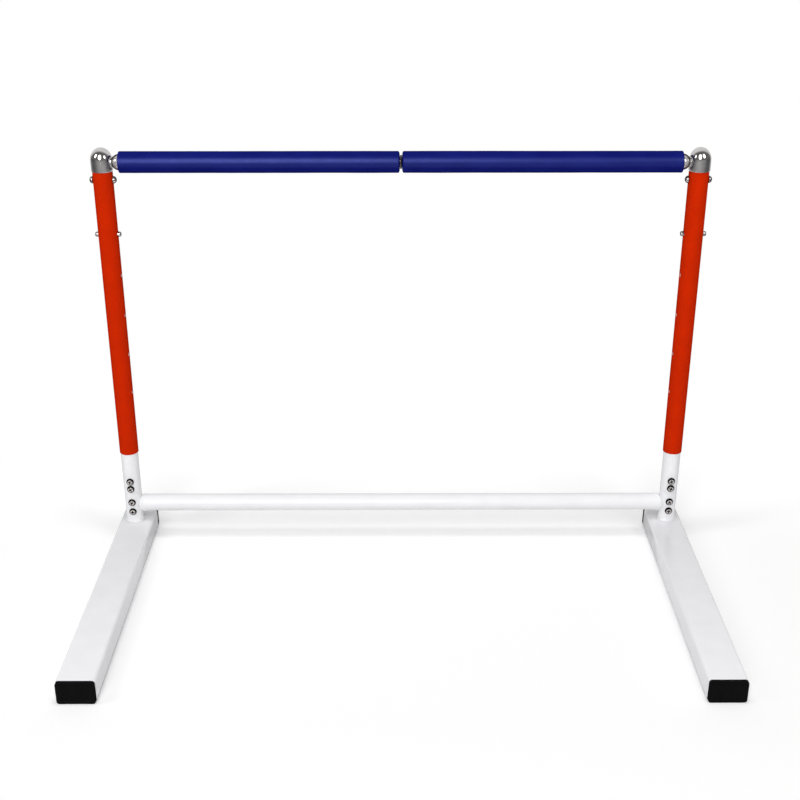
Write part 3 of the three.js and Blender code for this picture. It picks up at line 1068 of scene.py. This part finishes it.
@dataclass
class CrossTube:
    """The tube between the two stubs, with its welds."""

    looks: Finishes
    radius: float = TUBE
    bore: float = 0.0149
    cut_reach: float = 0.03
    weld: Weld = Weld(TUBE - 0.0043, 0.005, 40)
    weld_reach: float = 0.016

    def tube(self) -> None:
        """Make the tube, its ends cut round inside their welds."""
        low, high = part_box("cross_tube")
        profile = [
            (self.bore, low.x), (self.radius, low.x), (self.radius, low.x + self.cut_reach),
            (self.radius, high.x - self.cut_reach), (self.radius, high.x), (self.bore, high.x),
        ]
        piece = Bench.turned("cross_pipe", profile, ring=True)
        Bench.settle(piece, Lie.ALONG_X.turn())
        share = self.weld.radius / self.radius
        for vertex in piece.data.vertices:
            if abs(vertex.co.x) > high.x - GAP:
                end = POST_X - math.hypot(vertex.co.z * share, self.weld_reach)
                vertex.co.x = math.copysign(end, vertex.co.x)
        finish(piece, self.axis(0), self.looks.white, "base", "cross_tube")

    def axis(self, across: float) -> Matrix:
        """Give a place on the tube's axis.

        Args:
            across: Distance from the middle of the hurdle, to the right.

        Returns:
            The place.
        """
        low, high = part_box("cross_tube")
        middle = (low + high) / 2
        return Matrix.Translation((across, middle.y, middle.z))

    def bead(self, side: Side) -> None:
        """Make the rippled weld where the tube meets a stub.

        Args:
            side: The stub's side.
        """
        piece = Bench.settle(self.weld.bead(side.named("cross_weld")), Lie.ALONG_X.turn())
        for vertex in piece.data.vertices:
            vertex.co.x += math.hypot(vertex.co.z, self.weld_reach)
        place = self.axis(side.value * POST_X) @ side.inward()
        finish(piece, place, self.looks.white, "base", angle=60)

    def build(self) -> None:
        """Make the tube and both welds."""
        self.tube()
        for side in Side:
            self.bead(side)


@dataclass
class Riser(SidePart):
    """The painted tube that slides on the inner post."""

    radius: float = 0.0176
    bore: float = 0.0167
    edge: float = 0.0003
    pitch: float = 0.0762
    settings: int = 5
    bolt_hole: float = 0.0033
    hole_margin: float = 0.009
    hole_edge: float = 0.00018

    def build(self) -> None:
        """Make the tube with its height holes and its bolt hole."""
        low, high = self.box("riser")
        first, edge = self.level("inner_button"), self.edge
        holes = [(first - self.pitch * index, BUTTON_HOLE) for index in range(self.settings)]
        holes.append((self.level("cap_bolt"), self.bolt_hole))
        holes.sort()
        rings = [
            (self.radius, height + margin)
            for height, _ in holes for margin in (-self.hole_margin, self.hole_margin)
        ]
        profile = [
            (self.bore, low.z), (self.radius - edge, low.z), (self.radius, low.z + edge), *rings,
            (self.radius, high.z - edge), (self.radius - edge, high.z), (self.bore, high.z),
        ]
        piece = Bench.turned(self.side.named("riser_tube"), profile, ring=True)
        for height, radius in holes:
            across = Lie.ALONG_X.at(height)
            Bench.drill(piece, radius, (-DRILL_REACH, DRILL_REACH), across, 40)
        Bench.soften(piece, self.hole_edge, 50)
        body, node = self.side.named("riser_body"), self.side.named("riser")
        finish(piece, self.post(), self.looks.orange, body, node)


@dataclass
class Cap(SidePart):
    """The casting on the riser, with its cross bolt and its ball cup."""

    radius: float = 0.019
    spigot: float = TUBE
    spigot_length: float = 0.038
    bore: float = 0.011
    bore_rise: float = 0.021
    bore_over: float = 0.002
    side_height: float = 0.0198
    dome_height: float = 0.021
    edge: float = 0.0008
    collar: float = 0.010
    collar_face: float = 0.0194
    collar_edge: float = 0.0006
    cup_foot: float = 0.002
    passage: float = 0.004
    bolt: float = 0.003
    bolt_thread: float = 0.003
    bolt_seat: float = 0.0179
    head: float = 0.0065
    head_rise: float = 0.0058
    head_rim: float = 0.0009
    head_edge: float = 0.0003
    head_round: float = 0.0004
    nut_over: float = 0.001

    def casting(self) -> None:
        """Make the cap."""
        foot, edge = self.box("cap")[0].z, self.edge
        rim = foot + self.spigot_length
        dome = rim + self.side_height
        piece = Bench.turned(self.side.named("cap_casting"), [
            (self.spigot - edge, foot), (self.spigot, foot + edge), (self.spigot, rim),
            (self.radius - edge, rim),
            *arc((self.radius - edge, rim + edge), (edge, edge), 5, -90, 0),
            *arc((0, dome), (self.radius, self.dome_height), 30),
        ], 128)
        bar = self.level("ball_end")
        across = Lie.ALONG_X.at(bar)
        collar = Bench.turned("collar", [
            (self.collar, 0), (self.collar, self.collar_face - self.collar_edge),
            (self.collar - self.collar_edge, self.collar_face),
        ])
        Bench.combine(piece, collar, across, "UNION")
        cup = Bench.turned("cup", [
            (self.cup_foot, -BALL), *arc((0, 0), (BALL + GAP, BALL + GAP), 48, -80, 90)])
        Bench.combine(piece, cup, Matrix.Translation((BALL_REACH, 0, bar)))
        reach = (foot - self.bore_over, rim + self.bore_rise)
        Bench.drill(piece, self.bore, reach, HOME, 64)
        Bench.drill(piece, self.passage, (0, DRILL_REACH), across, 48)
        bolt = Lie.ALONG_X.at(self.level("cap_bolt"))
        Bench.drill(piece, self.bolt + GAP, (-DRILL_REACH, DRILL_REACH), bolt, 40)
        place = self.post() @ self.side.inward()
        body, node = self.side.named("riser_body"), self.side.named("cap")
        finish(piece, place, self.looks.casting, body, node, angle=35)

    def domed(self) -> list[Pair]:
        """Give the outline of a domed head on its seat.

        Returns:
            Radius and height of each point.
        """
        seat, rim = self.bolt_seat, self.bolt_seat + self.head_rim
        reach = (self.head - self.head_round, self.head_rise - self.head_rim)
        return [
            (self.head - self.head_edge, seat), (self.head, seat + self.head_edge),
            (self.head, rim), *arc((0, rim), reach, 12),
        ]

    def cross_bolt(self) -> None:
        """Make the bolt with its domed head outside and the domed nut inside."""
        seat, wide = self.bolt_seat, self.bolt + GAP
        shank = [(self.bolt, -seat - self.bolt_thread), (self.bolt, seat)]
        bolt = Bench.turned(self.side.named("dome_bolt"), [*shank, *self.domed()], 48)
        nut = Bench.turned(self.side.named("domed_nut"), [(wide, seat), *self.domed()], 48)
        Bench.drill(nut, wide, (seat - self.nut_over, seat + self.bolt_thread + GAP), HOME, 32)
        place = self.post(self.level("cap_bolt")) @ self.side.inward()
        for piece, turn, node in ((bolt, math.pi, "cap_bolt"), (nut, 0, "cap_nut")):
            way = place @ Matrix.Rotation(turn, 4, "Z") @ Lie.ALONG_X.turn()
            body = self.side.named("riser_body")
            finish(piece, way, self.looks.stainless, body, self.side.named(node))

    def build(self) -> None:
        """Make the cap and its bolt."""
        self.casting()
        self.cross_bolt()


@dataclass
class BarHalf(SidePart):
    """Half of the bar: ball end, foam pad, middle plug and return spring."""

    ball_edge: Pair = (0.0003, 0.0002)
    ball_lip: float = 0.003
    shank: float = 0.0092
    shank_length: float = 0.035
    spring_bore: float = 0.004
    mouth: float = 0.0055
    pad: float = 0.0188
    pad_bore: float = 0.0113
    pad_rings: int = 60
    pad_swell: float = 0.0005
    swell_size: float = 0.06
    crown_depth: float = 0.0069
    crown_length: float = 0.0030
    outer_edge: float = 0.0009
    plug: float = 0.0119
    plug_thickness: float = 0.0015
    plug_edge: float = 0.00012
    plug_softness: float = 0.00006
    plug_shank: float = 0.020
    plug_crown: float = 0.00018
    plug_rings: tuple[float, ...] = (0.0114, 0.0107, 0.0096, 0.008, 0.006, 0.004, 0.002)
    anchor_reach: float = 0.070
    spring: float = 0.003
    wire: float = 0.0008
    coil_share: float = 2.05
    eye: float = 0.0034

    def finish(self, piece: Piece, look: Look, node: str, angle: float = 32) -> None:
        """Lay a piece that stands on the ball's middle along the bar, and finish it.

        Args:
            piece: The piece.
            look: Its finish.
            node: CAD node that it stands for, without the side.
            angle: Greatest angle in degrees between faces that is shaded smooth.
        """
        spot = (self.side.value * (POST_X - BALL_REACH), POST_Y, self.level("ball_end"))
        place = Matrix.Translation(spot) @ self.side.inward() @ Lie.ALONG_X.turn()
        body = self.side.named("bar_body")
        finish(piece, place, look, body, self.side.named(node), angle=angle)

    def reach(self) -> float:
        """Give the distance from the ball's middle to the plug's face."""
        low, high = self.box("middle_plug")
        return POST_X - BALL_REACH - min(abs(low.x), abs(high.x))

    def ball_end(self) -> None:
        """Make the ball with its hollow shank."""
        opening = math.degrees(math.asin(self.mouth / BALL))
        lip = -BALL * math.cos(math.radians(opening)) + self.ball_lip
        step, back = self.ball_edge
        piece = Bench.turned(self.side.named("bar_ball"), [
            (self.spring_bore, lip), *arc((0, 0), (BALL, BALL), 40, opening - 90, -2), (BALL, 0),
            (BALL - step, back), (self.shank, back), (self.shank, self.shank_length),
            (self.spring_bore, self.shank_length),
        ], ring=True)
        self.finish(piece, self.looks.plating, "ball_end", 35)

    def foam_pad(self) -> None:
        """Make the foam sleeve, square at the ball and rounded off at the middle."""
        start, end = GAP, self.reach() - self.plug_thickness - GAP
        edge, rings = self.outer_edge, self.pad_rings
        first, last = start + 2 * edge, end - self.crown_length - edge
        crown = (self.crown_depth, self.crown_length)
        piece = Bench.turned(self.side.named("foam_sleeve"), [
            (self.pad_bore, start),
            *arc((self.pad - edge, start + edge), (edge, edge), 5, -90, 0),
            *[(self.pad, first + (last - first) * step / rings) for step in range(rings + 1)],
            *arc((self.pad - self.crown_depth, end - self.crown_length), crown, 12),
            (self.pad_bore, end),
        ], ring=True)
        clouds = bpy.data.textures.new(self.side.named("swell"), "CLOUDS")
        clouds.noise_scale = self.swell_size
        Bench.modify(
            piece, "DISPLACE", texture=clouds, texture_coords="LOCAL", strength=self.pad_swell,
            mid_level=0.6)
        self.finish(piece, self.looks.foam, "pad", 50)

    def middle_plug(self) -> None:
        """Make the plug in the bar's middle end, its face rounded about the ball's middle."""
        face, edge = self.reach(), self.plug_edge
        back, crown = face - self.plug_thickness, face + self.plug_crown
        piece = Bench.turned(self.side.named("bar_plug"), [
            (self.shank, back - self.plug_shank), (self.shank, back), (self.plug, back),
            (self.plug, face - edge), (self.plug - edge, face),
            *[(radius, math.sqrt(crown ** 2 - radius ** 2)) for radius in self.plug_rings],
            (0, crown),
        ])
        Bench.soften(piece, self.plug_softness, 35)
        # The left plug gets the plating with the painted dark reflection.
        look = self.looks.reflection_darkened if self.side is Side.LEFT else self.looks.black
        self.finish(piece, look, "middle_plug")

    def return_spring(self) -> None:
        """Wind the return spring and put an eye on each of its ends."""
        low, high = self.eye - BALL_REACH, self.anchor_reach - self.eye
        turns = round((high - low) / (self.wire * self.coil_share))
        Bench.focus()
        bpy.ops.mesh.primitive_circle_add(
            vertices=8, radius=self.wire, fill_type="NOTHING",
            location=(self.spring - self.wire, 0, 0), rotation=(QUARTER, 0, 0))
        piece = Bench.name(self.side.named("wound_spring"))
        bpy.ops.object.transform_apply(location=True, rotation=True)
        Bench.modify(
            piece, "SCREW", angle=math.tau, screw_offset=(high - low - 2 * self.wire) / turns,
            iterations=turns, steps=14, render_steps=14, use_merge_vertices=False)
        bpy.ops.object.mode_set(mode="EDIT")
        Bench.close()
        Bench.settle(piece, Matrix.Translation((0, 0, low + self.wire)))
        eyes = []
        for height in (-BALL_REACH, self.anchor_reach):
            Bench.focus()
            bpy.ops.mesh.primitive_torus_add(
                location=(0, 0, height), rotation=(0, QUARTER, 0), major_segments=32,
                minor_segments=8, major_radius=self.eye, minor_radius=self.wire)
            eyes.append(Bench.name("eye"))
            bpy.ops.object.transform_apply(location=True, rotation=True)
        Bench.focus(piece, *eyes)
        bpy.ops.object.join()
        self.finish(piece, self.looks.spring, "return_spring", 60)

    def build(self) -> None:
        """Make this half of the bar."""
        self.ball_end()
        self.foam_pad()
        self.middle_plug()
        self.return_spring()


@dataclass(frozen=True)
class Softbox:
    """An oval lamp that looks at the middle of the hurdle.

    Its bearing is in degrees round from the front to the right, its rise in degrees up from the
    level, and its power in watts.
    """

    title: str
    bearing: float
    rise: float
    away: float
    size: Pair
    power: float
    mirrored: bool = True
    aim: Triple = (0.0, 0.2, 0.45)

    def hang(self) -> None:
        """Hang the lamp."""
        data = bpy.data.lights.new(self.title, "AREA")
        data.shape = "ELLIPSE"
        data.size, data.size_y = self.size
        data.energy = self.power
        lamp = bpy.data.objects.new(self.title, data)
        bpy.context.scene.collection.objects.link(lamp)
        turn, lift = math.radians(self.bearing), math.radians(self.rise)
        level = math.cos(lift)
        way = Vector((math.sin(turn) * level, -math.cos(turn) * level, math.sin(lift)))
        lamp.location = Vector(self.aim) + way * self.away
        lamp.rotation_euler = way.to_track_quat("Z", "Y").to_euler()
        lamp.visible_camera = False
        lamp.visible_glossy = self.mirrored


@dataclass
class Studio:
    """A white sweep, four softboxes and a camera at an athlete's eye height.

    The floor's glow is by how far back it lies. The sky and the ground are what shiny pieces
    mirror, from the camera's side to behind the hurdle.
    """

    lens: float = 56.31
    sensor: float = 36
    camera_place: Triple = (-0.0089, -1.9140, 1.2357)
    camera_turn: Triple = (66.369, 0.0, -0.192)
    lamps: tuple[Softbox, ...] = (
        Softbox("front_softbox", -10, 28, 6.0, (3.1, 4.7), 172),
        Softbox("left_softbox", -64, 31, 2.4, (0.6, 1.0), 8.4),
        Softbox("right_softbox", 45, 33, 2.4, (0.9, 1.3), 8.9),
        Softbox("top_softbox", 0, 80, 2.4, (1.8, 0.7), 18, mirrored=False),
    )
    fill: float = 0.24
    floor_size: float = 80
    floor_glow: Profile = ((0.325, 0.155), (0.525, 0.21), (0.62, 0.24), (0.7, 0.345), (0.8, 0.37))
    floor_colour: float = 0.94
    floor_bounce: float = 0.8
    floor_fade: Pair = (0.7, 1.15)
    floor_oval: Triple = (1.0, 1.25, 1.0)
    sky: Profile = ((0.0, 0.17), (0.65, 0.17), (0.85, 0.92))
    sky_lift: float = 0.6
    ground: Profile = ((0.0, 0.4), (0.12, 0.34), (0.3, 0.12), (0.65, 0.12), (0.88, 1.0))

    def camera(self) -> None:
        """Set up the camera."""
        data = bpy.data.cameras.new("camera")
        data.lens = self.lens
        data.sensor_width = self.sensor
        camera = bpy.data.objects.new("camera", data)
        bpy.context.scene.collection.objects.link(camera)
        camera.location = self.camera_place
        camera.rotation_euler = [math.radians(angle) for angle in self.camera_turn]
        bpy.context.scene.camera = camera

    def seen(self, graph: Graph) -> Socket:
        """Give 1 for a ray from the camera, a mirror or a glass, and 0 for the others.

        Args:
            graph: Node tree to add to.

        Returns:
            The 1 or 0.
        """
        path = graph.add("LightPath", {})
        total = path.outputs["Is Camera Ray"]
        for name in ("Is Glossy Ray", "Is Transmission Ray"):
            total = graph.maths("MAXIMUM", total, path.outputs[name])
        return total

    def stepped(self, graph: Graph, value: Socket, stops: Profile) -> Socket:
        """Run a value from -1 to 1 through a ramp of levels, whose places run from 0 to 1."""
        share = graph.span(value, (-1.0, 1.0), form="LINEAR")
        return graph.ramp(share, [(position, grey(level)) for position, level in stops])

    def shown(self, graph: Graph, backness: Socket, stops: Profile) -> Socket:
        """Give 1 to the camera, and to shiny pieces that part of the studio, from front to back."""
        camera = graph.add("LightPath", {}).outputs["Is Camera Ray"]
        return graph.maths("MAXIMUM", camera, self.stepped(graph, backness, stops))

    def world(self) -> None:
        """Light from all round, and show white behind everything."""
        world = bpy.data.worlds.new("studio")
        bpy.context.scene.world = world
        world.use_nodes = True
        graph = Graph(world.node_tree)
        way = graph.place("Generated")
        lift = graph.maths("MULTIPLY", graph.along(way, "Z"), self.sky_lift)
        backness = graph.maths("ADD", graph.along(way, "Y"), lift)
        level = graph.add("Mix", {
            "Factor": self.seen(graph), "A": self.fill, "B": self.shown(graph, backness, self.sky)})
        background = graph.tree.nodes["Background"]
        graph.feed(background, "Color", grey(1.0))
        graph.feed(background, "Strength", level.outputs[0])

    def floor_material(self) -> bpy.types.Material:
        """Make the floor matt and faintly glowing, and fade it to plain white far away.

        Returns:
            The floor's material.
        """
        material = bpy.data.materials.new("white_sweep")
        material.use_nodes = True
        graph = Graph(material.node_tree)
        graph.tree.nodes.remove(graph.tree.nodes["Principled BSDF"])
        place = graph.place("Object")
        back = graph.along(place, "Y")
        colour = graph.mixed(self.seen(graph), grey(self.floor_bounce), grey(self.floor_colour))
        matt = graph.add("BsdfDiffuse", {"Color": colour})
        level = self.stepped(graph, back, self.floor_glow)
        level = graph.maths("MULTIPLY", level, self.seen(graph))
        glow = graph.add("Emission", {"Strength": level})
        near = graph.add("AddShader", {0: matt.outputs["BSDF"], 1: glow.outputs["Emission"]})
        backness = graph.maths("DIVIDE", back, graph.length(place))
        far = graph.add("Emission", {"Strength": self.shown(graph, backness, self.ground)})
        fade = graph.span(graph.length(graph.stretched(place, self.floor_oval)), self.floor_fade)
        whole = graph.add("MixShader", {
            0: graph.maths("MULTIPLY", fade, self.seen(graph)),
            1: near.outputs["Shader"], 2: far.outputs["Emission"],
        })
        graph.feed(graph.tree.nodes["Material Output"], "Surface", whole.outputs["Shader"])
        return material

    def floor(self) -> None:
        """Lay the white floor."""
        Bench.focus()
        bpy.ops.mesh.primitive_plane_add(size=self.floor_size)
        piece = Bench.name("floor")
        piece.data.materials.append(self.floor_material())

    def build(self) -> None:
        """Set up the whole studio."""
        self.camera()
        for lamp in self.lamps:
            lamp.hang()
        self.world()
        self.floor()
        bpy.context.scene.view_settings.view_transform = "Standard"


def main() -> None:
    """Load the frame, build the studio and dress every piece."""
    logging.basicConfig(level=logging.INFO, format="%(message)s")
    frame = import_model()
    Studio().build()
    looks = Finishes()
    for side in Side:
        for part in (BaseLeg, Post, Riser, Cap, BarHalf):
            part(side, looks).build()
        for node, look in (
            ("coupling", looks.zinc), ("button_spring", looks.spring), ("spring_pin", looks.zinc),
            ("core_tube", looks.aluminium), ("anchor_pin", looks.zinc),
        ):
            redress(frame["nodes"][side.named(node)], look)
    CrossTube(looks).build()


if __name__ == "__main__":
    main()
